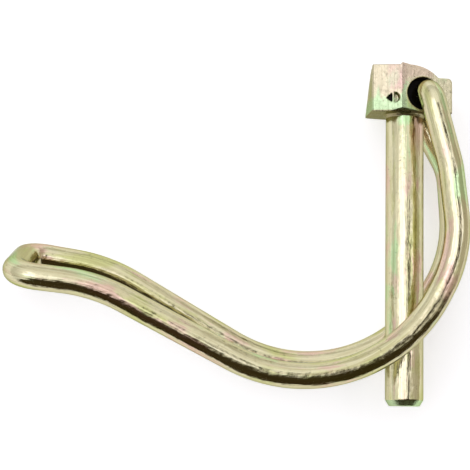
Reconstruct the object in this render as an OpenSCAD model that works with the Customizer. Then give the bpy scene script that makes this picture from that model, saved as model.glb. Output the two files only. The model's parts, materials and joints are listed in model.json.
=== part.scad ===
// A locking pin for a tube: a steel pin with a forged cross head, and a sprung wire loop hinged in the head.
// The part lies on its side, with the far leg of the loop on the floor.
// +X points away from the closed end of the loop, +Y from the tip of the pin to its head, and +Z up.
// The origin is on the axis of the pin, at the underside of the head.

/* [Pin] */
// Diameter of the shank
pin_d = 6; // [5:0.5:7]
// Length of the shank under the head
pin_length = 46; // [40:1:60]
// Length of the taper at the tip
tip_length = 1; // [0.5:0.1:2]
// How far the taper narrows the tip, on the radius
tip_narrowing = 0.6; // [0.2:0.1:1.2]
// Radius of the fillet between the shank and the head
neck_fillet = 0.6; // [0.3:0.1:1]

/* [Head] */
// Width of the head, across the shank
head_width = 12.8; // [11.6:0.2:14]
// How far the middle of the head stands off the axis of the shank, towards the hole
head_shift = 0.6; // [0.2:0.1:0.8]
// Height of the head, along the shank
head_height = 7.5; // [7:0.1:9]
// Depth of the head at its two ends
head_end_depth = 6.4; // [6:0.1:7]
// How far the ridge at the parting line stands out of each broad face
ridge_rise = 0.9; // [0.3:0.1:1]
// Distance of the parting line from the axis of the shank, towards the closed end
parting_offset = 1.2; // [0.5:0.1:1.6]
// Height of the crest of flash that stands on top, along the parting line
flash_rise = 0.35; // [0.2:0.05:0.8]
// Distance from the axis of the shank to where the foot of the flash and the flat top end
top_end = 0.3; // [0:0.1:0.6]
// Radius of the shoulder that falls over the hole
shoulder_radius = 6; // [5.8:0.1:8]
// Height of the ledge at the end of the head, outside the hole
ledge_height = 5.6; // [5:0.1:6.2]
// Radius of the ledge's outer corner
ledge_radius = 0.8; // [0.3:0.1:1.4]
// Angle at which the upper back corner of the flat end is sheared, in degrees
end_skew = 10; // [2:1:14]
// Width of the flat seat between the fillet and the trimmed lower edge
seat_margin = 0.1; // [0.05:0.05:0.5]
// Slope of the trimmed lower edge, in millimetres of rise for each millimetre outwards
trim_slope = 1.5; // [0.5:0.1:2]
// Size of the bevel on the four upright edges
edge_bevel = 0.2; // [0.2:0.1:0.8]

/* [Holes] */
// Diameter of the two blind cross holes, one from each face, that take the ends of the wire
hole_d = 5.2; // [4.4:0.1:5.4]
// Distance of the holes from the axis of the shank
hole_offset = 2.2; // [1.8:0.1:2.6]
// Height of the holes' centre above the underside of the head
hole_height = 3; // [2.8:0.1:3.2]
// Gap between the end of the wire and the floor of its hole
end_play = 0.9; // [0.3:0.1:1.1]

/* [Stake mark] */
// Width of the small pierced mark beside the hole
mark_width = 2.1; // [1:0.1:2.4]
// Height of the mark
mark_height = 1.6; // [1:0.1:2]
// Distance of the mark from the axis of the shank
mark_offset = 2.6; // [2.4:0.1:3.4]
// Height of the mark's centre above the underside of the head
mark_level = 2.2; // [1.6:0.1:3.5]
// Depth of the mark at the face of the head
mark_depth = 0.9; // [0.4:0.1:1.2]
// Thickness of the sliver left standing in the middle of the mark
mark_sliver = 0.3; // [0.2:0.05:0.5]

/* [Wire loop] */
// Diameter of the wire
wire_d = 4; // [3.4:0.1:4.2]
// Distance between the two legs, from centre to centre
leg_spacing = 13; // [12.8:0.2:16]
// Gap left where the wire lies against the wall of the hole
hinge_gap = 0.05; // [0.05:0.05:0.2]
// Length of straight wire inside the head at each side
stub_length = 2.2; // [1:0.1:2.8]
// Bend radius where each leg turns into the head
elbow_radius = 2.4; // [2.2:0.1:3]
// Bend radius at the two corners of the closed end
end_bend_radius = 3.4; // [2.6:0.2:5]
// How far the far leg is turned against the near one, in degrees
far_turn = 2.7; // [0:0.1:5]
// How far the far leg is set over along X
far_set_x = 3.3; // [0:0.1:4]
// How far the far leg is set over along Y
far_set_y = 1.3; // [0:0.1:3]

/* [Hidden] */
$fn = 64;

// Corners of the near leg from the head to the closed end: x, y and the radius it is bent to
leg_corners = [
    [5.9, -8.8, 10],
    [7.5, -22.2, 20],
    [-6.7, -49.9, 23.8],
    [-48.5, -28.5, 26]
];
// Where the near leg meets the cross-piece at the closed end
leg_end = [-61, -27.2];

// Each straight runs this far into the bends, which are thinner by wire_lip, so that they join cleanly
wire_lap = 0.05;
wire_lip = 0.01;
// Cutting tools run this far past the faces that they cut
clear = 1;

pin_r = pin_d / 2;
wire_r = wire_d / 2;
hole_r = hole_d / 2;
flat_end = head_width / 2 - head_shift;
hole_end = head_width / 2 + head_shift;
end_z = head_end_depth / 2;
ridge_z = end_z + ridge_rise;
mark_z = ridge_z - ridge_rise * (mark_offset - parting_offset) / (flat_end - parting_offset);
leg_z = leg_spacing / 2;
hinge = [hole_offset + hole_r - hinge_gap - wire_r, hole_height];

function unit(v) = v / norm(v);
function xyz(row) = [row[0], row[1], row[2]];
function reversed(list) = [for (i = [len(list) - 1 : -1 : 0]) list[i]];
function turned(p, a) = [p.x * cos(a) - p.y * sin(a), p.x * sin(a) + p.y * cos(a)];
function bend_angle(u, v) = acos(max(-1, min(1, u * v)));

// The far leg is the near one, turned about the hinge and set over
function far_point(p) = hinge + turned([p.x, p.y] - hinge, -far_turn) + [far_set_x, far_set_y];
near_leg = [for (c = leg_corners) [c.x, c.y, leg_z, c.z]];
far_leg = [for (c = leg_corners) let (p = far_point(c)) [p.x, p.y, -leg_z, c.z]];
far_end = far_point(leg_end);
stub_z = leg_z - elbow_radius - stub_length;
hole_floor = stub_z - end_play;

// The whole wire, from one end inside the head to the other: x, y, z and the bend radius
route = concat(
    [[hinge.x, hinge.y, stub_z, 0], [hinge.x, hinge.y, leg_z, elbow_radius]],
    near_leg,
    [[leg_end.x, leg_end.y, leg_z, end_bend_radius]],
    [[far_end.x, far_end.y, -leg_z, end_bend_radius]],
    reversed(far_leg),
    [[hinge.x, hinge.y, -leg_z, elbow_radius], [hinge.x, hinge.y, -stub_z, 0]]
);

// Turned shank with its tapered tip and the fillet under the head
module shank() {
    flare_r = pin_r + neck_fillet;
    rotate([90, 0, 0]) rotate_extrude() difference() {
        polygon([
            [0, 0], [flare_r, 0], [flare_r, neck_fillet], [pin_r, neck_fillet],
            [pin_r, pin_length - tip_length], [pin_r - tip_narrowing, pin_length], [0, pin_length]
        ]);
        translate([flare_r, neck_fillet]) circle(r = neck_fillet);
    }
}

// Section of the head, seen along the shank: two flat facets on each side of the parting line
module head_section() {
    side = [
        [-flat_end, end_z - edge_bevel], [-flat_end + edge_bevel, end_z], [-parting_offset, ridge_z],
        [hole_end - edge_bevel, end_z], [hole_end, end_z - edge_bevel]
    ];
    polygon(concat(side, [for (p = reversed(side)) [p.x, -p.y]]));
}

// Outline of the head, seen along the hole: a flat top with a crest of flash, then a shoulder and a ledge
module head_outline() {
    translate([-flat_end, 0]) square([flat_end + top_end, head_height]);
    polygon([
        [-parting_offset - flash_rise, head_height - flash_rise], [-parting_offset, head_height + flash_rise],
        [top_end, head_height], [top_end, head_height - flash_rise]
    ]);
    intersection() {
        square([hole_end, head_height]);
        translate([top_end, head_height - shoulder_radius]) circle(r = shoulder_radius);
    }
    square([hole_end, ledge_height - ledge_radius]);
    square([hole_end - ledge_radius, ledge_height]);
    translate([hole_end - ledge_radius, ledge_height - ledge_radius]) circle(r = ledge_radius);
}

// Tool that shears the upper back corner off the flat end, turned about the diagonal of that end
module end_shear() {
    reach = 2 * head_height;
    translate([-flat_end, head_height, end_z])
        rotate(a = -end_skew, v = [0, head_height, head_end_depth])
            translate([-reach, -reach, -reach]) cube([reach, 2 * reach, 2 * reach]);
}

// Wedge that trims the lower edge of a broad face, so that the edge climbs towards the ridge
module edge_trim() {
    reach = ridge_rise + clear;
    start = pin_r + neck_fillet + seat_margin;
    rotate([0, 90, 0]) linear_extrude(2 * hole_end + clear, center = true) polygon([
        [-start, 0], [-start - reach, 0], [-start - reach, reach * trim_slope]
    ]);
}

// Two small pits with a sliver of metal between them
module stake_mark() {
    half = mark_width / 2;
    rise = mark_height / 2;
    translate([-mark_offset, mark_level, mark_z - mark_depth]) linear_extrude(mark_depth + clear) {
        polygon([[-half, -rise / 6], [-mark_sliver / 2, rise], [-mark_sliver / 2, -rise]]);
        intersection() {
            translate([mark_sliver / 2, -rise]) square([half, 2 * rise]);
            translate([half - rise, 0]) circle(r = rise);
        }
    }
}

module cross_hole() {
    translate([hole_offset, hole_height, hole_floor]) cylinder(r = hole_r, h = ridge_z - hole_floor + clear);
}
module forged_pin() {
    color("darkkhaki") difference() {
        union() {
            shank();
            intersection() {
                translate([0, head_height + flash_rise, 0]) rotate([90, 0, 0])
                    linear_extrude(head_height + flash_rise) head_section();
                linear_extrude(2 * ridge_z + clear, center = true) head_outline();
            }
        }
        for (side = [0, 1]) mirror([0, 0, side]) cross_hole();
        for (side = [0, 1]) mirror([0, 0, side]) edge_trim();
        end_shear();
        stake_mark();
    }
}

// A straight round bar from one point to another
module bar(from, to, r) {
    u = unit(to - from);
    side = unit(cross(abs(u.z) < 0.9 ? [0, 0, 1] : [1, 0, 0], u));
    up = cross(u, side);
    multmatrix([
        [side.x, up.x, u.x, from.x],
        [side.y, up.y, u.y, from.y],
        [side.z, up.z, u.z, from.z]
    ])
        cylinder(r = r, h = norm(to - from));
}

// A round bar bent at a corner, from direction u to direction v
module bend(corner, u, v, bend_r, r) {
    a = bend_angle(u, v);
    n = unit(cross(u, v));
    w = cross(n, u);
    centre = corner - u * bend_r * tan(a / 2) + w * bend_r;
    multmatrix([
        [-w.x, u.x, n.x, centre.x],
        [-w.y, u.y, n.y, centre.y],
        [-w.z, u.z, n.z, centre.z]
    ])
        rotate_extrude(angle = a) translate([bend_r, 0]) circle(r = r);
}

// A wire of radius r along rows of x, y, z and bend radius
module bent_wire(rows, r) {
    last = len(rows) - 1;
    p = [for (row = rows) xyz(row)];
    u = [for (i = [0 : last - 1]) unit(p[i + 1] - p[i])];
    trim = [for (i = [0 : last]) i == 0 || i == last ? 0
        : rows[i][3] * tan(bend_angle(u[i - 1], u[i]) / 2) - wire_lap];
    for (i = [0 : last - 1])
        bar(p[i] + u[i] * trim[i], p[i + 1] - u[i] * trim[i + 1], r);
    for (i = [1 : last - 1])
        bend(p[i], u[i - 1], u[i], rows[i][3], r - wire_lip);
}

module wire_loop() {
    color("palegoldenrod") bent_wire(route, wire_r);
}

forged_pin();
wire_loop();
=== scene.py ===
"""Builds the looks of a locking pin: a forged, turned pin and the bent wire loop that is hinged in its head."""

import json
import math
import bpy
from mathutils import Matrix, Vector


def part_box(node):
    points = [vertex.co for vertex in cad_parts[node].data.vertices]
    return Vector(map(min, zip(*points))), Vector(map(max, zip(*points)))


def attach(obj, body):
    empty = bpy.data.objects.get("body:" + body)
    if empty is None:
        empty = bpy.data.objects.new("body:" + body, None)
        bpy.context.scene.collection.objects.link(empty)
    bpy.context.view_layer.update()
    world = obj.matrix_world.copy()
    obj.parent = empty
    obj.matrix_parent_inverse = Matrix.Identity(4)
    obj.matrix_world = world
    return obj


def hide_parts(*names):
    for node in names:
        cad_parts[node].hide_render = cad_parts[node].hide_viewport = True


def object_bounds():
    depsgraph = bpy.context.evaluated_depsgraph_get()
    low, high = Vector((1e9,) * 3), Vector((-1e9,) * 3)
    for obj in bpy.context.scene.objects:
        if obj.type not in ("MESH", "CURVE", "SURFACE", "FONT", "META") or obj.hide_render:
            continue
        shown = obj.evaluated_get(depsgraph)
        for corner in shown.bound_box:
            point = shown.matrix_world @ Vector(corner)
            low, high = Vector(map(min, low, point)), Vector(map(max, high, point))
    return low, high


bl_info = {
    "name": "Locking Pin",
    "version": (1, 0, 0),
    "blender": (4, 5, 0),
    "location": "3D View > Sidebar > Locking Pin",
    "description": "Models the forged pin and its sprung wire loop, and sets them on a plain floor",
    "category": "Object",
}

import bpy
import numpy as np
from bpy.props import FloatProperty, FloatVectorProperty, IntProperty, PointerProperty
from mathutils import Matrix, Vector

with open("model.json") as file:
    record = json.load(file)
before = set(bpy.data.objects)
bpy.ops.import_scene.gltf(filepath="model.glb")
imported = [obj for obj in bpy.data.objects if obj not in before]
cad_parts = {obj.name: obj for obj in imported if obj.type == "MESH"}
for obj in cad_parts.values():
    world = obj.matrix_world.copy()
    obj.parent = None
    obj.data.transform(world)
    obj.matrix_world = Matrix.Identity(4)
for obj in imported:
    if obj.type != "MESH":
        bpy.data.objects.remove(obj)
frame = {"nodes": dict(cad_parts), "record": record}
CAD_BOX = [list(corner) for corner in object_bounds()]

MM = 0.001
PIN_NODE = "forged_pin"
LOOP_NODE = "wire_loop"
HINGE = Vector(frame["record"]["behaviour"]["joints"][0]["pos_m"])
SHANK = next(mount for mount in frame["record"]["mounts"] if mount["name"] == "shank")
SHANK_RADIUS = SHANK["dims"]["r_mm"] * MM
FLOOR_Z = CAD_BOX[0][2]

# Corners of the near leg from the head to the closed end, in millimetres: x, y and the radius it is bent to
LEG_CORNERS = [
    (5.9, -8.8, 10),
    (7.5, -22.2, 20),
    (-6.7, -49.9, 23.8),
    (-48.5, -28.5, 26),
]
# Where the near leg meets the cross-piece at the closed end, in millimetres
LEG_END = (-61, -27.2)

# The mesh attribute that holds each point's place in the wire before it was bent
STRAIGHT = "straight"
# Points closer together than this are merged
WELD = 0.001 * MM
# How far the turned shank runs up into the forging, so that no gap shows
SHANK_OVERLAP = 0.3 * MM
SHANK_SIDES = 96
# Faces as close as this to a height belong to the flat end there
END_TOLERANCE = 0.01 * MM
# How far past the drawn size of a hole a face still counts as its wall or its floor
WALL_LAP, FLOOR_LAP = 0.1 * MM, 0.3 * MM
# The plane that the stake mark sits in: how far it lies under the ridge there, and how it falls away to the side
MARK_PLANE_DROP, MARK_PLANE_SLOPE = 0.25 * MM, 0.2
# Distance between the points that each vertex of the wire is measured from
CENTRE_STEP = 0.25 * MM

# How the patches and streaks of the plating are squashed along the metal, and how much the streaks stir the patches
PATCH_SQUASH, STREAK_SQUASH, STREAK_SHARE = 0.4, 0.12, 0.45
# Offset of the second set of patches, and its size as a share of the first
SECOND_OFFSET, SECOND_SIZE = (0.031, 0.017, 0.043), 0.6
# Bands of the noise over which cream turns to straw, to rose and to mint
STRAW_BAND, ROSE_BAND, MINT_BAND = (0.52, 0.68), (0.54, 0.68), (0.41, 0.29)
# Bands of the noise over which stains darken the plating, draw lines tone it and its gloss goes from bright to dull
STAIN_BAND = (0.6, 0.74)
FORGING_STAIN_BAND = (0.56, 0.72)
LINE_BAND = (0.35, 0.7)
DULL_BAND = (0.3, 0.7)
# How much rougher the forging is than drawn metal, at its brightest and at its dullest
FORGING_DULLS = (0.15, 0.17)

# Heights over which the top of the head turns pink and its foot green, and which share of each colour shows
HEAD_ROSE, HEAD_ROSE_SHARE = (4.6 * MM, 5.8 * MM), 0.5
HEAD_MINT, HEAD_MINT_SHARE = (2.6 * MM, 1.7 * MM), 0.9
# Heights between which painted shade, in a darker brown, covers the underside of the head, and which share of it shows
UNDERSIDE_SHADE_TOP, UNDERSIDE_SHADE_FOOT, UNDERSIDE_SHADE_SHARE = (0.3 * MM, 0.1 * MM), (-3 * MM, -2 * MM), 0.85
# From left to right over the head: where pink starts, where the left plane gives way to the right one for each colour,
# and where the ledge starts
ROSE_START = (-3.8 * MM, -3 * MM)
RIDGE_FOR_ROSE = (-1.2 * MM, -0.6 * MM)
RIDGE_FOR_MINT = (-1.7 * MM, -0.7 * MM)
# Left of this the darkening is laid fully, as painted shade on the left plane of the head; right of it only a fifth,
# as the forging's own tone
RIDGE_FOR_LEFT_SHADE = (-0.8 * MM, -0.3 * MM)
LEDGE_START = (3.4 * MM, 4.2 * MM)
# How much further down pink reaches on the left plane, and how much further up green reaches on the right one
ROSE_DROP, MINT_RISE = 1.8 * MM, 2.4 * MM
# How far the stains push these borders up and down
HEAD_WANDER, SHANK_WANDER = 3 * MM, 2 * MM
# The painted highlight along the rim of the hole, as distances from its edge
RIM_HIGHLIGHT_BAND, RIM_HIGHLIGHT_SHARE = (0.4 * MM, 0.15 * MM), 0.7
# Under the head the shank is pink on the right and has a green patch in the middle
SHANK_ROSE, SHANK_ROSE_SIDE, SHANK_ROSE_SHARE = (-7 * MM, -1 * MM), (0.2 * MM, 0.8 * MM), 0.9
SHANK_MINT, SHANK_MINT_LEFT, SHANK_MINT_RIGHT = (-1.4 * MM, -0.4 * MM), (-2 * MM, -1.2 * MM), (0.7 * MM, 0.3 * MM)

# Blur of the edges of the dark parts overhead, and the bands of direction over which the light of the room changes
DARK_BLUR = 0.05
GAP_SIDE_BLUR, GAP_END_BLUR = 0.02, 0.03
GAP_HEIGHT = (0.2, 0.4)
ROOM_HEIGHT = (0.1, 0.7)
ROOM_RIGHT = (0.3, 0.75)
# The soft boxes overhead: direction, width in radians and share of the strength
SOFT_BOXES = [
    ((-0.42, 0.1, 0.9), 0.3, 1.0),
    ((0.55, 0.1, 0.83), 0.13, 0.9),
    ((0.08, -0.03, 1), 0.15, 0.3),
]


# ---------------------------------------------------------------- sizes and colours


class PinSizes(bpy.types.PropertyGroup):
    taper_length: FloatProperty(
        name="Taper length", description="Length of the taper at the tip", default=1 * MM, unit="LENGTH"
    )
    tip_narrowing: FloatProperty(
        name="Tip narrowing", description="How far the taper narrows the tip, on the radius",
        default=0.6 * MM, unit="LENGTH",
    )
    tip_softness: FloatProperty(
        name="Tip softness", description="Width of the rounding on the edges of the tip",
        default=0.18 * MM, unit="LENGTH",
    )
    neck_cut: FloatProperty(
        name="Neck cut", description="How far under the head the forging ends and the turned shank takes over",
        default=0.55 * MM, unit="LENGTH",
    )
    forging_grain: FloatProperty(
        name="Forging grain", description="Fineness of the mesh over the forged head", default=0.09 * MM, unit="LENGTH"
    )
    forging_rounding: IntProperty(
        name="Forging rounding", description="How many times the edges of the head are softened", default=2, min=0
    )
    forging_unevenness: FloatProperty(
        name="Forging unevenness", description="Depth of the shallow dents that the dies leave",
        default=0.05 * MM, unit="LENGTH",
    )
    dent_size: FloatProperty(
        name="Dent size", description="Width of those dents", default=1.6 * MM, unit="LENGTH"
    )
    hole_diameter: FloatProperty(
        name="Hole diameter", description="Diameter of the two blind holes", default=5.2 * MM, unit="LENGTH"
    )
    hole_floor: FloatProperty(
        name="Hole floor", description="Height of the floor of each hole over the middle of the head",
        default=1.0 * MM, unit="LENGTH",
    )
    hole_centre: FloatVectorProperty(
        name="Hole centre", description="Place of the two holes", size=2,
        default=(2.2 * MM, 3 * MM), subtype="TRANSLATION",
    )
    mark_centre: FloatVectorProperty(
        name="Mark centre", description="Place of the stake mark", size=2,
        default=(-2.6 * MM, 2.2 * MM), subtype="TRANSLATION",
    )
    mark_reach: FloatProperty(
        name="Mark reach", description="Half width of the stake mark", default=1.15 * MM, unit="LENGTH"
    )
    # Painted shade: under this depth the left half of the stake mark's pit is painted near-black
    pit_shade_depth: FloatProperty(
        name="Soot depth", description="Depth in the mark under which residue stays", default=0.22 * MM, unit="LENGTH"
    )


class LoopSizes(bpy.types.PropertyGroup):
    wire_diameter: FloatProperty(
        name="Wire diameter", description="Diameter of the wire", default=4 * MM, unit="LENGTH"
    )
    leg_spacing: FloatProperty(
        name="Leg spacing", description="Distance between the two legs, from centre to centre",
        default=13 * MM, unit="LENGTH",
    )
    stub_length: FloatProperty(
        name="Stub length", description="Length of straight wire inside the head at each side",
        default=2.2 * MM, unit="LENGTH",
    )
    elbow_radius: FloatProperty(
        name="Elbow radius", description="Bend radius where each leg turns into the head",
        default=2.4 * MM, unit="LENGTH",
    )
    end_bend_radius: FloatProperty(
        name="End bend radius", description="Bend radius at the two corners of the closed end",
        default=3.4 * MM, unit="LENGTH",
    )
    far_turn: FloatProperty(
        name="Far leg turn", description="How far the far leg is turned against the near one",
        default=math.radians(2.7), subtype="ANGLE",
    )
    far_set: FloatVectorProperty(
        name="Far leg set", description="How far the far leg is set over along X and Y", size=2,
        default=(3.3 * MM, 1.3 * MM), subtype="TRANSLATION",
    )
    end_softness: FloatProperty(
        name="End softness", description="How far the cropped ends of the wire are drawn in",
        default=0.25 * MM, unit="LENGTH",
    )
    ring_sides: IntProperty(name="Ring sides", description="Sides of the wire's section", default=56, min=12)
    ring_step: FloatProperty(
        name="Ring step", description="Distance between the rings of the wire's mesh", default=0.6 * MM, unit="LENGTH"
    )


def colour(name, description, default):
    return FloatVectorProperty(
        name=name, description=description, default=default, size=3, min=0, subtype="COLOR"
    )


class Plating(bpy.types.PropertyGroup):
    cream: colour("Cream", "Most of the chromated zinc", (0.70, 0.66, 0.43))
    straw: colour("Straw", "Yellow-green patches of the chromate", (0.60, 0.61, 0.29))
    mint: colour("Mint", "Green patches of the chromate", (0.55, 0.77, 0.42))
    rose: colour("Rose", "Pink patches of the chromate", (0.74, 0.54, 0.44))
    # Dark stains on the metal, and also the near-black painted shade in the holes and in the left pit of the stake
    # mark
    stain_and_painted_shade: colour("Soot", "Dark residue in the holes and the pits", (0.012, 0.01, 0.009))
    # Painted shade: the lighter flecks in the near-black of the holes
    lighter_bore_shade: colour("Bare bore", "Metal showing through in the holes", (0.03, 0.026, 0.02))
    edge: colour("Edge", "Tone of the plating where it turns away", (0.50, 0.52, 0.36))
    die_line: colour("Die line", "Tone of the lines left by the drawing die", (0.50, 0.42, 0.28))
    # Painted shade: the darker brown laid on the underside of the head, where its shade falls
    scale: colour("Scale", "Brown film on the underside of the head", (0.30, 0.23, 0.13))
    # Darkens the forging a little all over as its own tone, and the left plane of the head fully as painted shade
    forging_tone_and_left_shade: colour("Forging tone", "How the rougher forging darkens the plating", (0.80, 0.76, 0.78))
    wave_size: FloatProperty(
        name="Wave size", description="Length of the shallow waves in the metal", default=1.7 * MM, unit="LENGTH"
    )
    wave_depth: FloatProperty(
        name="Wave depth", description="Depth of the shallow waves", default=0.13 * MM, unit="LENGTH"
    )
    line_depth: FloatProperty(
        name="Line depth", description="Depth of the draw lines", default=0.04 * MM, unit="LENGTH"
    )
    grain_depth: FloatProperty(
        name="Grain depth", description="Depth of the fine grain", default=0.008 * MM, unit="LENGTH"
    )
    patch_size: FloatProperty(
        name="Patch size", description="Width of the coloured patches", default=6 * MM, unit="LENGTH"
    )
    tint_width: FloatProperty(
        name="Tint width", description="Width of the fine coloured streaks", default=1.1 * MM, unit="LENGTH"
    )
    streak_width: FloatProperty(
        name="Streak width", description="Width of the lines left by the drawing die", default=0.35 * MM, unit="LENGTH"
    )
    streak_stretch: FloatProperty(
        name="Streak stretch", description="How much longer than wide those lines are", default=26, min=1
    )
    speck_size: FloatProperty(
        name="Speck size", description="Width of the small stains and pits", default=0.5 * MM, unit="LENGTH"
    )
    gloss_low: FloatProperty(
        name="Smooth roughness", description="Roughness where the plating is brightest", default=0.09, subtype="FACTOR"
    )
    gloss_high: FloatProperty(
        name="Dull roughness", description="Roughness where the plating is dullest", default=0.2, subtype="FACTOR"
    )


class StageSettings(bpy.types.PropertyGroup):
    aim: FloatVectorProperty(
        name="Aim", description="Point that the camera looks at", default=(-26.88 * MM, -19.79 * MM, 0),
        subtype="TRANSLATION",
    )
    distance: FloatProperty(
        name="Distance", description="Distance from the aim to the camera", default=240 * MM, unit="LENGTH"
    )
    lean_left: FloatProperty(
        name="Lean left", description="How far the camera leans over to the closed end of the loop",
        default=math.radians(5.606), subtype="ANGLE",
    )
    lean_down: FloatProperty(
        name="Lean down", description="How far the camera leans over to the tip of the pin",
        default=math.radians(6.596), subtype="ANGLE",
    )
    roll: FloatProperty(
        name="Roll", description="How far the camera is rolled", default=math.radians(0.837), subtype="ANGLE"
    )
    lens: FloatProperty(name="Lens", description="Focal length, in millimetres", default=117.7)
    floor_size: FloatProperty(
        name="Floor size", description="Width of the floor", default=0.42, unit="LENGTH"
    )
    floor_colour: colour("Floor", "Colour of the floor", (0.78, 0.78, 0.78))
    floor_lift: FloatProperty(
        name="Floor lift", description="How much the floor is lifted towards white where it is seen", default=0.5
    )
    room_low: colour("Low room", "Light of the room near the horizon", (0.78, 0.78, 0.78))
    room_high: colour("High room", "Light of the room overhead", (1.14, 1.13, 1.16))
    room_right: colour("Right of the room", "Light of the room on the right", (0.62, 0.58, 0.52))
    dark_side: colour("Dark side", "Light of the dark parts overhead", (0.05, 0.036, 0.014))
    dark_start: FloatProperty(
        name="Dark start", description="How far towards the tip of the pin the dark side starts", default=0.18
    )
    dark_slope_left: FloatProperty(
        name="Dark slope left", description="How the dark side recedes to the left", default=0.45
    )
    dark_slope_right: FloatProperty(
        name="Dark slope right", description="How the dark side recedes to the right", default=0.12
    )
    dark_middle: FloatProperty(name="Dark middle", description="Where the dark side reaches furthest", default=0.1)
    gap_place: FloatProperty(name="Gap place", description="Place of the gap between the soft boxes", default=0.26)
    gap_width: FloatProperty(name="Gap width", description="Width of the gap between the soft boxes", default=0.24)
    gap_end: FloatProperty(name="Gap end", description="Where the gap between the soft boxes ends", default=0.27)
    box_colour: colour("Soft box colour", "Colour of the soft boxes", (1.0, 0.97, 1.25))
    box_strength: FloatProperty(
        name="Soft box strength", description="Extra light of the soft boxes overhead", default=1.0, min=0
    )


# ---------------------------------------------------------------- helpers


def props():
    return bpy.context.scene.locking_pin


def deselect_all():
    if bpy.context.object and bpy.context.object.mode != "OBJECT":
        bpy.ops.object.mode_set(mode="OBJECT")
    bpy.ops.object.select_all(action="DESELECT")


def make_active(piece):
    deselect_all()
    piece.select_set(True)
    bpy.context.view_layer.objects.active = piece


def settle(piece):
    """Puts the piece's place into its mesh."""
    make_active(piece)
    bpy.ops.object.transform_apply(location=True, rotation=True, scale=True)


def apply_modifier(piece, kind, **settings):
    make_active(piece)
    bpy.ops.object.modifier_add(type=kind)
    modifier = piece.modifiers[-1]
    for name, value in settings.items():
        setattr(modifier, name, value)
    bpy.ops.object.modifier_apply(modifier=modifier.name)


def copy_node(node, name):
    """A copy of a CAD node with its loose triangles merged."""
    deselect_all()
    piece = frame["nodes"][node].copy()
    piece.data = piece.data.copy()
    piece.name = piece.data.name = name
    piece.parent = None
    bpy.context.scene.collection.objects.link(piece)
    make_active(piece)
    bpy.ops.object.mode_set(mode="EDIT")
    bpy.ops.mesh.select_all(action="SELECT")
    bpy.ops.mesh.remove_doubles(threshold=WELD)
    bpy.ops.mesh.customdata_custom_splitnormals_clear()
    bpy.ops.object.mode_set(mode="OBJECT")
    return piece


class Graph:
    """Adds nodes to a material or world, and hands back their output sockets."""

    def __init__(self, tree):
        self.tree = tree
        tree.nodes.clear()

    def add(self, kind, inputs=None, output=0, **settings):
        made = self.tree.nodes.new(kind)
        for name, value in settings.items():
            setattr(made, name, value)
        for name, value in (inputs or {}).items():
            self.feed(made.inputs[name], value)
        return made if output is None else made.outputs[output]

    def feed(self, socket, value):
        if isinstance(value, bpy.types.NodeSocket):
            self.tree.links.new(value, socket)
        elif hasattr(value, "__len__") and len(value) == 3 and socket.type == "RGBA":
            socket.default_value = (*value, 1)
        else:
            socket.default_value = value

    def math(self, operation, a, b=0.0):
        return self.add("ShaderNodeMath", {0: a, 1: b}, operation=operation)

    def map(self, value, low, high, to_low=0.0, to_high=1.0):
        return self.add(
            "ShaderNodeMapRange",
            {"Value": value, "From Min": low, "From Max": high, "To Min": to_low, "To Max": to_high},
            interpolation_type="SMOOTHSTEP",
        )

    def mix(self, factor, a, b, blend="MIX"):
        mixed = self.add("ShaderNodeMix", output=None, data_type="RGBA", blend_type=blend)
        self.feed(mixed.inputs[0], factor)
        self.feed(mixed.inputs[6], a)
        self.feed(mixed.inputs[7], b)
        return mixed.outputs[2]

    def stretch(self, vector, scale, offset=(0, 0, 0)):
        return self.add("ShaderNodeMapping", {"Vector": vector, "Scale": scale, "Location": offset})

    def noise(self, vector, size, detail=3.0, roughness=0.55, distortion=0.0):
        inputs = {
            "Vector": vector, "Scale": 1 / size, "Detail": detail, "Roughness": roughness, "Distortion": distortion
        }
        return self.add("ShaderNodeTexNoise", inputs)

    def bump(self, height, depth, normal=None):
        inputs = {"Height": height, "Distance": depth}
        if normal is not None:
            inputs["Normal"] = normal
        return self.add("ShaderNodeBump", inputs)


# ---------------------------------------------------------------- materials


def new_material(name):
    material = bpy.data.materials.new(name)
    material.use_nodes = True
    return material, Graph(material.node_tree)


def finish_material(graph, base, roughness, normal, metallic=1.0, specular=0.5, edge=(1, 1, 1)):
    shader = graph.add("ShaderNodeBsdfPrincipled", output=None)
    graph.feed(shader.inputs["Base Color"], base)
    graph.feed(shader.inputs["Roughness"], roughness)
    graph.feed(shader.inputs["Normal"], normal)
    shader.inputs["Metallic"].default_value = metallic
    shader.inputs["Specular IOR Level"].default_value = specular
    shader.inputs["Specular Tint"].default_value = (*edge, 1)
    graph.add("ShaderNodeOutputMaterial", {"Surface": shader.outputs[0]}, output=None)


def chromate(graph, place, along, finish):
    """The iridescent colour of yellow chromate: broad patches, with finer streaks along the metal."""
    patches = squash(along, PATCH_SQUASH)
    broad = graph.noise(graph.stretch(place, patches), finish.patch_size, detail=2.5, distortion=0.6)
    other = graph.noise(graph.stretch(place, patches, SECOND_OFFSET), finish.patch_size * SECOND_SIZE)
    streaks = graph.stretch(place, squash(along, STREAK_SQUASH))
    fine = graph.noise(streaks, finish.tint_width, detail=3, roughness=0.6)
    stir = graph.math("MULTIPLY", graph.math("SUBTRACT", fine, 0.5), STREAK_SHARE)
    first = graph.math("ADD", broad, stir)
    second = graph.math("SUBTRACT", other, stir)
    base = graph.mix(graph.map(first, *STRAW_BAND), finish.cream, finish.straw)
    base = graph.mix(graph.map(second, *ROSE_BAND, 0, 0.9), base, finish.rose)
    return graph.mix(graph.map(first, *MINT_BAND, 0, 0.85), base, finish.mint)


def squash(along, amount):
    """Scales that stretch a pattern along one axis."""
    return tuple(amount if axis == along else 1 for axis in "XYZ")


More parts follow.
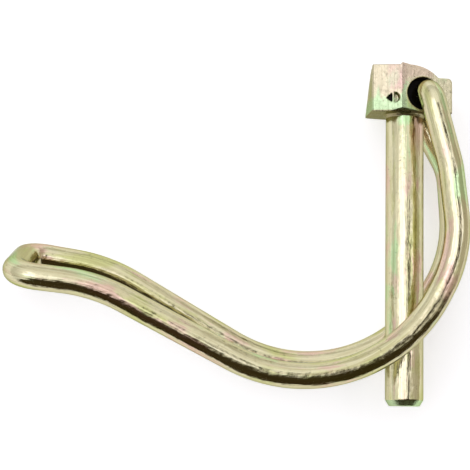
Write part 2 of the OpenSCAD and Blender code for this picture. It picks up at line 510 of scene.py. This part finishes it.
def surface_marks(graph, place, along, finish):
    """Bump and tone of the draw lines, the shallow waves, the grain and the small stains."""
    lines = graph.noise(
        graph.stretch(place, squash(along, 1 / finish.streak_stretch)), finish.streak_width, detail=2, roughness=0.6
    )
    waves = graph.noise(graph.stretch(place, squash(along, 0.6)), finish.wave_size, detail=2)
    grain = graph.noise(place, finish.speck_size * 0.3, detail=2)
    stains = graph.noise(place, finish.speck_size, detail=4, roughness=0.65)
    normal = graph.bump(waves, finish.wave_depth)
    normal = graph.bump(lines, finish.line_depth, normal=normal)
    normal = graph.bump(grain, finish.grain_depth, normal=normal)
    return lines, stains, normal


def drawn_finish(graph, base, marks, finish, soot_share, line_share):
    """Finishes drawn or turned metal: the stains and lines over its plating, and its gloss."""
    lines, stains, normal = marks
    base = graph.mix(graph.map(stains, *STAIN_BAND, 0, soot_share), base, finish.stain_and_painted_shade)
    base = graph.mix(graph.map(lines, *LINE_BAND, line_share, 0), base, finish.die_line, "MULTIPLY")
    roughness = graph.map(stains, *DULL_BAND, finish.gloss_low, finish.gloss_high)
    finish_material(graph, base, roughness, normal, edge=finish.edge)


def wire_material(finish):
    material, graph = new_material("plated_wire")
    place = graph.add("ShaderNodeAttribute", attribute_name=STRAIGHT, attribute_type="GEOMETRY", output="Vector")
    marks = surface_marks(graph, place, "Z", finish)
    drawn_finish(graph, chromate(graph, place, "Z", finish), marks, finish, soot_share=0.45, line_share=0.35)
    return material


def forging_material(finish, pin):
    material, graph = new_material("plated_forging")
    place = graph.add("ShaderNodeTexCoord", output="Object")
    stains, normal = surface_marks(graph, place, "Y", finish)[1:]
    parts = graph.add("ShaderNodeSeparateXYZ", {"Vector": place}, output=None)
    across, level = parts.outputs["X"], parts.outputs["Y"]
    wander = graph.math("MULTIPLY", graph.math("SUBTRACT", stains, 0.5), HEAD_WANDER)
    height = graph.math("ADD", level, wander)
    inner = graph.map(across, *LEDGE_START, 1, 0)
    base = chromate(graph, place, "Y", finish)

    lowered = graph.math("ADD", height, graph.map(across, *RIDGE_FOR_ROSE, ROSE_DROP, 0))
    rose = graph.math("MULTIPLY", graph.map(lowered, *HEAD_ROSE, 0, HEAD_ROSE_SHARE), graph.map(across, *ROSE_START))
    base = graph.mix(graph.math("MULTIPLY", rose, inner), base, finish.rose)
    raised = graph.math("SUBTRACT", height, graph.map(across, *RIDGE_FOR_MINT, 0, MINT_RISE))
    mint = graph.math("MULTIPLY", graph.map(raised, *HEAD_MINT, 0, HEAD_MINT_SHARE), inner)
    base = graph.mix(mint, base, finish.mint)

    # Painted shade on the left plane of the head, over a slight darker tone of the forging everywhere
    base = graph.mix(graph.map(across, *RIDGE_FOR_LEFT_SHADE, 1, 0.2), base, finish.forging_tone_and_left_shade, "MULTIPLY")
    # Painted highlight: cream along the rim of the holes
    base = graph.mix(rim_highlight(graph, place, pin), base, finish.cream)
    base = graph.mix(graph.map(stains, *FORGING_STAIN_BAND, 0, 0.5), base, finish.stain_and_painted_shade)
    # Painted shade: the underside of the head is turned darker brown
    underside_shade = graph.math("MULTIPLY", graph.map(level, *UNDERSIDE_SHADE_TOP, 0, UNDERSIDE_SHADE_SHARE), graph.map(level, *UNDERSIDE_SHADE_FOOT))
    base = graph.mix(underside_shade, base, finish.scale)
    bright, dull = finish.gloss_low + FORGING_DULLS[0], finish.gloss_high + FORGING_DULLS[1]
    finish_material(graph, base, graph.map(stains, *DULL_BAND, bright, dull), normal, edge=finish.edge)
    return material


def rim_highlight(graph, place, pin):
    """How much a place shows the painted highlight along the edge of its hole."""
    flat = graph.stretch(place, (1, 1, 0))
    centre = Vector((*pin.hole_centre, 0))
    out = graph.add("ShaderNodeVectorMath", {0: flat, 1: centre}, output="Value", operation="DISTANCE")
    radius = pin.hole_diameter / 2
    return graph.map(out, radius + RIM_HIGHLIGHT_BAND[0], radius + RIM_HIGHLIGHT_BAND[1], 0, RIM_HIGHLIGHT_SHARE)


def shank_material(finish):
    material, graph = new_material("plated_shank")
    place = graph.add("ShaderNodeTexCoord", output="Object")
    marks = surface_marks(graph, place, "Y", finish)
    stains = marks[1]
    parts = graph.add("ShaderNodeSeparateXYZ", {"Vector": place}, output=None)
    across = parts.outputs["X"]
    height = graph.math("ADD", parts.outputs["Y"], graph.math("MULTIPLY", stains, SHANK_WANDER))
    base = chromate(graph, place, "Y", finish)
    right = graph.map(across, *SHANK_ROSE_SIDE)
    rose = graph.math("MULTIPLY", graph.map(height, *SHANK_ROSE, 0, SHANK_ROSE_SHARE), right)
    base = graph.mix(rose, base, finish.rose)
    middle = graph.math("MULTIPLY", graph.map(across, *SHANK_MINT_LEFT), graph.map(across, *SHANK_MINT_RIGHT))
    base = graph.mix(graph.math("MULTIPLY", middle, graph.map(height, *SHANK_MINT)), base, finish.mint)
    drawn_finish(graph, base, marks, finish, soot_share=0.4, line_share=0.3)
    return material


# Painted shade: a near-black, dull finish for the walls and floors of the holes and the left pit of the stake mark
def bore_shade_material(finish):
    material, graph = new_material("painted_shade_bore")
    place = graph.add("ShaderNodeTexCoord", output="Object")
    stains = graph.noise(place, finish.speck_size, detail=3)
    base = graph.mix(graph.map(stains, 0.35, 0.7), finish.stain_and_painted_shade, finish.lighter_bore_shade)
    roughness = graph.map(stains, 0.3, 0.7, 0.5, 0.75)
    finish_material(graph, base, roughness, graph.bump(stains, 0.02 * MM), metallic=0, specular=0.15)
    return material


# ---------------------------------------------------------------- the pin


class LOCKINGPIN_OT_forged_pin(bpy.types.Operator):
    """Models the forged head with its two holes, and the turned shank under it"""

    bl_idname = "locking_pin.forged_pin"
    bl_label = "Forged pin"

    def execute(self, context):
        finish = props().plating
        head = self.forge_head(props().pin)
        shank = self.turn_shank(props().pin)
        for material in (forging_material(finish, props().pin), bore_shade_material(finish)):
            head.data.materials.append(material)
        shank.data.materials.append(shank_material(finish))
        shank.data.materials.append(head.data.materials[0])
        taper_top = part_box(PIN_NODE)[0].y + props().pin.taper_length
        for face in shank.data.polygons:
            face.material_index = int(face.center.y < taper_top and face.normal.y < -0.2)
        self.paint_bore_shade(head, props().pin)
        make_active(head)
        shank.select_set(True)
        bpy.ops.object.join()
        settle(head)
        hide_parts(PIN_NODE)
        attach(head, "pin")
        return {"FINISHED"}

    def forge_head(self, sizes):
        head = copy_node(PIN_NODE, "pin_forging")
        head.data.materials.clear()
        bpy.ops.object.mode_set(mode="EDIT")
        bpy.ops.mesh.select_all(action="SELECT")
        bpy.ops.mesh.bisect(
            plane_co=(0, -sizes.neck_cut, 0), plane_no=(0, 1, 0), clear_inner=True, use_fill=True
        )
        bpy.ops.object.mode_set(mode="OBJECT")
        apply_modifier(head, "REMESH", mode="VOXEL", voxel_size=sizes.forging_grain)
        apply_modifier(head, "SMOOTH", factor=0.5, iterations=sizes.forging_rounding)
        dents = bpy.data.textures.new("die_dents", "CLOUDS")
        dents.noise_scale = sizes.dent_size
        apply_modifier(
            head, "DISPLACE", texture=dents, texture_coords="LOCAL", strength=sizes.forging_unevenness, mid_level=0.5
        )
        make_active(head)
        bpy.ops.object.shade_smooth()
        return head

    def turn_shank(self, sizes):
        top = SHANK_OVERLAP - sizes.neck_cut
        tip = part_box(PIN_NODE)[0].y
        length = top - tip
        deselect_all()
        bpy.ops.mesh.primitive_cylinder_add(
            vertices=SHANK_SIDES, radius=SHANK_RADIUS, depth=length - sizes.taper_length,
            location=(0, top - (length - sizes.taper_length) / 2, 0), rotation=(math.pi / 2, 0, 0),
        )
        shank = bpy.context.object
        shank.name = shank.data.name = "turned_shank"
        settle(shank)
        self.select_end(shank, tip + sizes.taper_length)
        bpy.ops.mesh.extrude_region_move(TRANSFORM_OT_translate={"value": (0, -sizes.taper_length, 0)})
        shrink = 1 - sizes.tip_narrowing / SHANK_RADIUS
        bpy.ops.transform.resize(value=(shrink, 1, shrink), center_override=(0, tip, 0))
        bpy.ops.object.mode_set(mode="OBJECT")
        apply_modifier(
            shank, "BEVEL", width=sizes.tip_softness, segments=3, limit_method="ANGLE", angle_limit=math.radians(20)
        )
        make_active(shank)
        bpy.ops.object.shade_smooth_by_angle(angle=math.radians(30))
        return shank

    def select_end(self, piece, y):
        """Enters edit mode with the flat face at this height selected."""
        make_active(piece)
        bpy.ops.object.mode_set(mode="EDIT")
        bpy.ops.mesh.select_all(action="DESELECT")
        bpy.ops.mesh.select_mode(type="FACE")
        bpy.ops.object.mode_set(mode="OBJECT")
        for face in piece.data.polygons:
            face.select = abs(face.center.y - y) < END_TOLERANCE and face.normal.y < -0.9
        bpy.ops.object.mode_set(mode="EDIT")

    def paint_bore_shade(self, head, sizes):
        """Gives the walls and floors of the holes, and the left half of the stake mark's pit, the near-black of
        painted shade.
        """
        hole_centre, mark_centre = Vector(sizes.hole_centre), Vector(sizes.mark_centre)
        hole_radius = sizes.hole_diameter / 2
        mesh = head.data
        brow = max(v.co.z for v in mesh.vertices)
        for face in mesh.polygons:
            place, facing = face.center.to_2d(), face.normal.to_2d()
            out = place - hole_centre
            wall = out.length < hole_radius + WALL_LAP and out.normalized().dot(facing) < -0.8
            floor = out.length < hole_radius and abs(face.center.z) < sizes.hole_floor + FLOOR_LAP
            in_mark = (place - mark_centre).length < sizes.mark_reach and face.center.z > 0
            plane = brow - MARK_PLANE_DROP - MARK_PLANE_SLOPE * abs(place.x - mark_centre.x)
            depth = plane - face.center.z
            pit_shade = in_mark and place.x < mark_centre.x and depth > sizes.pit_shade_depth
            # Painted shade: these faces get the near-black bore finish
            face.material_index = int(wall or floor or pit_shade)


# ---------------------------------------------------------------- the wire loop


def unit(v):
    return v / v.length


class Corner:
    """A rounded corner of the route, between its neighbours."""

    def __init__(self, before, corner, after, radius):
        self.into = unit(corner - before)
        self.out = unit(after - corner)
        self.angle = self.into.angle(self.out)
        self.axis = unit(self.into.cross(self.out))
        self.trim = radius * math.tan(self.angle / 2)
        self.start = corner - self.into * self.trim
        self.end = corner + self.out * self.trim
        self.centre = self.start + self.axis.cross(self.into) * radius
        self.radius = radius

    def point(self, turn):
        return self.centre + Matrix.Rotation(turn, 3, self.axis) @ (self.start - self.centre)


def loop_route(sizes):
    """Points and bend radii of the wire, from one end inside the head to the other."""
    leg_z = sizes.leg_spacing / 2
    stub_z = leg_z - sizes.elbow_radius - sizes.stub_length
    hinge = HINGE.to_2d()
    set_over = Vector(sizes.far_set)

    def far(point):
        return hinge + Matrix.Rotation(-sizes.far_turn, 2) @ (point - hinge) + set_over

    near = [(Vector((x, y)) * MM, radius * MM) for x, y, radius in LEG_CORNERS]
    near.append((Vector(LEG_END) * MM, sizes.end_bend_radius))
    flat = [(*point, leg_z, radius) for point, radius in near]
    flat += [(*far(point), -leg_z, radius) for point, radius in reversed(near)]
    elbows = [(*hinge, leg_z, sizes.elbow_radius), (*hinge, -leg_z, sizes.elbow_radius)]
    rows = [(*hinge, stub_z, 0), elbows[0], *flat, elbows[1], (*hinge, -stub_z, 0)]
    return [Vector(row[:3]) for row in rows], [row[3] for row in rows]


def route_corners(points, radii):
    return [Corner(points[i - 1], points[i], points[i + 1], radii[i]) for i in range(1, len(points) - 1)]


def centre_line(points, corners, step):
    """Evenly spaced points along the route."""
    line = [points[0]]

    def run_to(end):
        start = line[-1]
        count = max(1, math.ceil((end - start).length / step))
        line.extend(start.lerp(end, i / count) for i in range(1, count + 1))

    for corner in corners:
        run_to(corner.start)
        count = max(2, math.ceil(corner.radius * corner.angle / step))
        line.extend(corner.point(corner.angle * i / count) for i in range(1, count + 1))
    run_to(points[-1])
    return line


class LOCKINGPIN_OT_wire_loop(bpy.types.Operator):
    """Bends the wire loop: straights are extruded, and corners are spun"""

    bl_idname = "locking_pin.wire_loop"
    bl_label = "Wire loop"

    def execute(self, context):
        sizes = props().loop
        points, radii = loop_route(sizes)
        corners = route_corners(points, radii)
        loop = self.bend(sizes, points, corners)
        self.lay_straight(loop, centre_line(points, corners, CENTRE_STEP))
        make_active(loop)
        bpy.ops.object.shade_smooth_by_angle(angle=math.radians(40))
        loop.data.materials.append(wire_material(props().plating))
        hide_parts(LOOP_NODE)
        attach(loop, "loop")
        return {"FINISHED"}

    def bend(self, sizes, points, corners):
        radius = sizes.wire_diameter / 2
        start = unit(points[1] - points[0])
        deselect_all()
        bpy.ops.mesh.primitive_circle_add(
            vertices=sizes.ring_sides, radius=radius, fill_type="NOTHING", location=points[0],
            rotation=start.to_track_quat("Z", "Y").to_euler(),
        )
        loop = bpy.context.object
        loop.name = loop.data.name = "bent_wire"
        settle(loop)
        bpy.ops.object.mode_set(mode="EDIT")
        bpy.ops.mesh.select_mode(type="EDGE")
        bpy.ops.mesh.select_all(action="SELECT")
        self.close_end(points[0], -start, sizes, keep_ring=True)
        here = points[0]
        for corner in corners:
            self.run_straight(here, corner.start, sizes.ring_step)
            steps = max(3, math.ceil(corner.radius * corner.angle / sizes.ring_step))
            bpy.ops.mesh.spin(steps=steps, angle=-corner.angle, center=corner.centre, axis=corner.axis)
            here = corner.end
        self.run_straight(here, points[-1], sizes.ring_step)
        self.close_end(points[-1], unit(points[-1] - here), sizes)
        bpy.ops.mesh.select_all(action="SELECT")
        bpy.ops.mesh.remove_doubles(threshold=WELD)
        bpy.ops.mesh.normals_make_consistent(inside=False)
        bpy.ops.object.mode_set(mode="OBJECT")
        return loop

    def run_straight(self, start, end, step):
        count = max(1, math.ceil((end - start).length / (2 * step)))
        for _ in range(count):
            bpy.ops.mesh.extrude_region_move(TRANSFORM_OT_translate={"value": (end - start) / count})

    def close_end(self, point, outward, sizes, keep_ring=False):
        """Caps the selected ring with a softened, cropped end."""
        soft = sizes.end_softness
        ring = [v.index for v in self.selected_vertices()] if keep_ring else None
        shrink = 1 - soft / (sizes.wire_diameter / 2)
        bpy.ops.mesh.extrude_region_move(TRANSFORM_OT_translate={"value": outward * soft * 0.6})
        bpy.ops.transform.resize(value=(shrink, shrink, shrink), center_override=point + outward * soft * 0.6)
        bpy.ops.mesh.fill()
        if ring:
            self.select_vertices(ring)

    def selected_vertices(self):
        bpy.ops.object.mode_set(mode="OBJECT")
        found = [v for v in bpy.context.object.data.vertices if v.select]
        bpy.ops.object.mode_set(mode="EDIT")
        return found

    def select_vertices(self, indices):
        bpy.ops.mesh.select_all(action="DESELECT")
        bpy.ops.object.mode_set(mode="OBJECT")
        mesh = bpy.context.object.data
        wanted = set(indices)
        for edge in mesh.edges:
            edge.select = all(index in wanted for index in edge.vertices)
        for vertex in mesh.vertices:
            vertex.select = vertex.index in wanted
        bpy.ops.object.mode_set(mode="EDIT")

    def lay_straight(self, loop, line):
        """Stores each point's place in the wire as it was before bending, for the marks that run along it."""
        centres = np.array(line, float)
        tangents = np.gradient(centres, axis=0)
        tangents /= np.linalg.norm(tangents, axis=1)[:, None]
        lengths = np.concatenate([[0], np.cumsum(np.linalg.norm(np.diff(centres, axis=0), axis=1))])
        sides = [np.cross(tangents[0], (0, 1, 0))]
        for tangent in tangents[1:]:
            side = sides[-1] - tangent * (sides[-1] @ tangent)
            sides.append(side / np.linalg.norm(side))
        sides = np.array(sides)
        ups = np.cross(tangents, sides)
        places = np.array([v.co for v in loop.data.vertices], float)
        nearest = np.array([np.argmin(((centres - place) ** 2).sum(1)) for place in places])
        offset = places - centres[nearest]
        straight = np.stack(
            [
                (offset * sides[nearest]).sum(1),
                (offset * ups[nearest]).sum(1),
                lengths[nearest] + (offset * tangents[nearest]).sum(1),
            ],
            axis=1,
        )
        attribute = loop.data.attributes.new(STRAIGHT, "FLOAT_VECTOR", "POINT")
        attribute.data.foreach_set("vector", straight.astype(np.float32).ravel())


# ---------------------------------------------------------------- the stage


class LOCKINGPIN_OT_stage(bpy.types.Operator):
    """Sets up the pale floor, the soft light of the room and the camera"""

    bl_idname = "locking_pin.stage"
    bl_label = "Stage"

    def execute(self, context):
        stage = props().stage
        self.lay_floor(stage)
        self.light_room(context.scene, stage)
        self.set_camera(context.scene, stage)
        context.scene.view_settings.view_transform = "Standard"
        return {"FINISHED"}

    def lay_floor(self, stage):
        deselect_all()
        bpy.ops.mesh.primitive_plane_add(size=stage.floor_size, location=(0, 0, FLOOR_Z))
        floor = bpy.context.object
        floor.name = floor.data.name = "floor"
        material, graph = new_material("pale_floor")
        path = graph.add("ShaderNodeLightPath", output=None)
        seen = graph.math("MAXIMUM", path.outputs["Is Camera Ray"], path.outputs["Is Glossy Ray"])
        seen = graph.math("MAXIMUM", seen, path.outputs["Is Transmission Ray"])
        matt = graph.add("ShaderNodeBsdfDiffuse", {"Color": stage.floor_colour})
        lift = graph.math("MULTIPLY", seen, stage.floor_lift)
        glow = graph.add("ShaderNodeEmission", {"Color": (1, 1, 1), "Strength": lift})
        both = graph.add("ShaderNodeAddShader", {0: matt, 1: glow})
        graph.add("ShaderNodeOutputMaterial", {"Surface": both}, output=None)
        floor.data.materials.append(material)
        settle(floor)

    def light_room(self, scene, stage):
        """A bright room with soft boxes overhead, dark towards the tip of the pin and in the gap between them."""
        world = bpy.data.worlds.new("soft_room")
        world.use_nodes = True
        scene.world = world
        graph = Graph(world.node_tree)
        way = graph.add("ShaderNodeTexCoord", output="Generated")
        parts = graph.add("ShaderNodeSeparateXYZ", {"Vector": way}, output=None)
        x, y, z = (parts.outputs[name] for name in "XYZ")
        aside = graph.math("SUBTRACT", x, stage.dark_middle)
        left = graph.math("MULTIPLY", graph.math("MINIMUM", aside, 0), -stage.dark_slope_left)
        right = graph.math("MULTIPLY", graph.math("MAXIMUM", aside, 0), stage.dark_slope_right)
        edge = graph.math("ADD", graph.math("ADD", y, stage.dark_start), graph.math("ADD", left, right))
        dark = graph.map(edge, DARK_BLUR, -DARK_BLUR)
        across = graph.math("ABSOLUTE", graph.math("SUBTRACT", x, stage.gap_place))
        half, end = stage.gap_width / 2, stage.gap_end
        gap = graph.map(across, half + GAP_SIDE_BLUR, half - GAP_SIDE_BLUR)
        gap = graph.math("MULTIPLY", gap, graph.map(y, end + GAP_END_BLUR, end - GAP_END_BLUR))
        dark = graph.math("MAXIMUM", dark, graph.math("MULTIPLY", gap, graph.map(z, *GAP_HEIGHT)))
        light = graph.mix(graph.map(z, *ROOM_HEIGHT), stage.room_low, stage.room_high)
        light = graph.mix(graph.map(x, *ROOM_RIGHT), light, stage.room_right)
        for toward, width, share in SOFT_BOXES:
            light = self.soft_box(graph, way, light, toward, width, stage.box_strength * share, stage.box_colour)
        colour_seen = graph.mix(dark, light, stage.dark_side)
        lit = graph.add("ShaderNodeBackground", {"Color": colour_seen, "Strength": 1.0})
        white = graph.add("ShaderNodeBackground", {"Color": (1, 1, 1), "Strength": 1.0})
        path = graph.add("ShaderNodeLightPath", output="Is Camera Ray")
        shown = graph.add("ShaderNodeMixShader", {0: path, 1: lit, 2: white})
        graph.add("ShaderNodeOutputWorld", {"Surface": shown}, output=None)

    def soft_box(self, graph, way, light, toward, width, strength, tint):
        """Adds a round soft box to the light, in one direction."""
        facing = graph.add(
            "ShaderNodeVectorMath", {0: way, 1: Vector(toward).normalized()}, output="Value", operation="DOT_PRODUCT"
        )
        amount = graph.map(facing, math.cos(width * 1.5), math.cos(width * 0.7), 0, strength)
        return graph.mix(amount, light, tint, "ADD")

    def set_camera(self, scene, stage):
        back = Vector((-math.tan(stage.lean_left), -math.tan(stage.lean_down), 1)).normalized()
        right = Vector((0, 1, 0)).cross(back).normalized()
        up = back.cross(right)
        rolled = Matrix.Rotation(stage.roll, 3, back)
        right, up = rolled @ right, rolled @ up
        bpy.ops.object.camera_add()
        camera = bpy.context.object
        turn = Matrix((right, up, back)).transposed().to_4x4()
        camera.matrix_world = Matrix.Translation(Vector(stage.aim) + back * stage.distance) @ turn
        camera.data.sensor_width = 36
        camera.data.lens = stage.lens
        camera.data.clip_start = 0.01
        camera.data.clip_end = 10
        scene.camera = camera


# ---------------------------------------------------------------- panel and registration


class LockingPinProps(bpy.types.PropertyGroup):
    pin: PointerProperty(type=PinSizes)
    loop: PointerProperty(type=LoopSizes)
    plating: PointerProperty(type=Plating)
    stage: PointerProperty(type=StageSettings)


class LOCKINGPIN_PT_panel(bpy.types.Panel):
    """Lists the pieces and their sizes"""

    bl_label = "Locking Pin"
    bl_idname = "LOCKINGPIN_PT_panel"
    bl_space_type = "VIEW_3D"
    bl_region_type = "UI"
    bl_category = "Locking Pin"

    def draw(self, context):
        for operator in OPERATORS:
            self.layout.operator(operator.bl_idname)
        for group in (props().pin, props().loop, props().plating, props().stage):
            box = self.layout.box()
            for name in group.bl_rna.properties.keys():
                if name not in ("rna_type", "name"):
                    box.prop(group, name)


OPERATORS = (LOCKINGPIN_OT_forged_pin, LOCKINGPIN_OT_wire_loop, LOCKINGPIN_OT_stage)
CLASSES = (PinSizes, LoopSizes, Plating, StageSettings, LockingPinProps, *OPERATORS, LOCKINGPIN_PT_panel)


def register():
    for cls in CLASSES:
        bpy.utils.register_class(cls)
    bpy.types.Scene.locking_pin = PointerProperty(type=LockingPinProps)


def unregister():
    del bpy.types.Scene.locking_pin
    for cls in reversed(CLASSES):
        bpy.utils.unregister_class(cls)


def main():
    register()
    bpy.ops.locking_pin.forged_pin()
    bpy.ops.locking_pin.wire_loop()
    bpy.ops.locking_pin.stage()


if __name__ == "__main__":
    main()
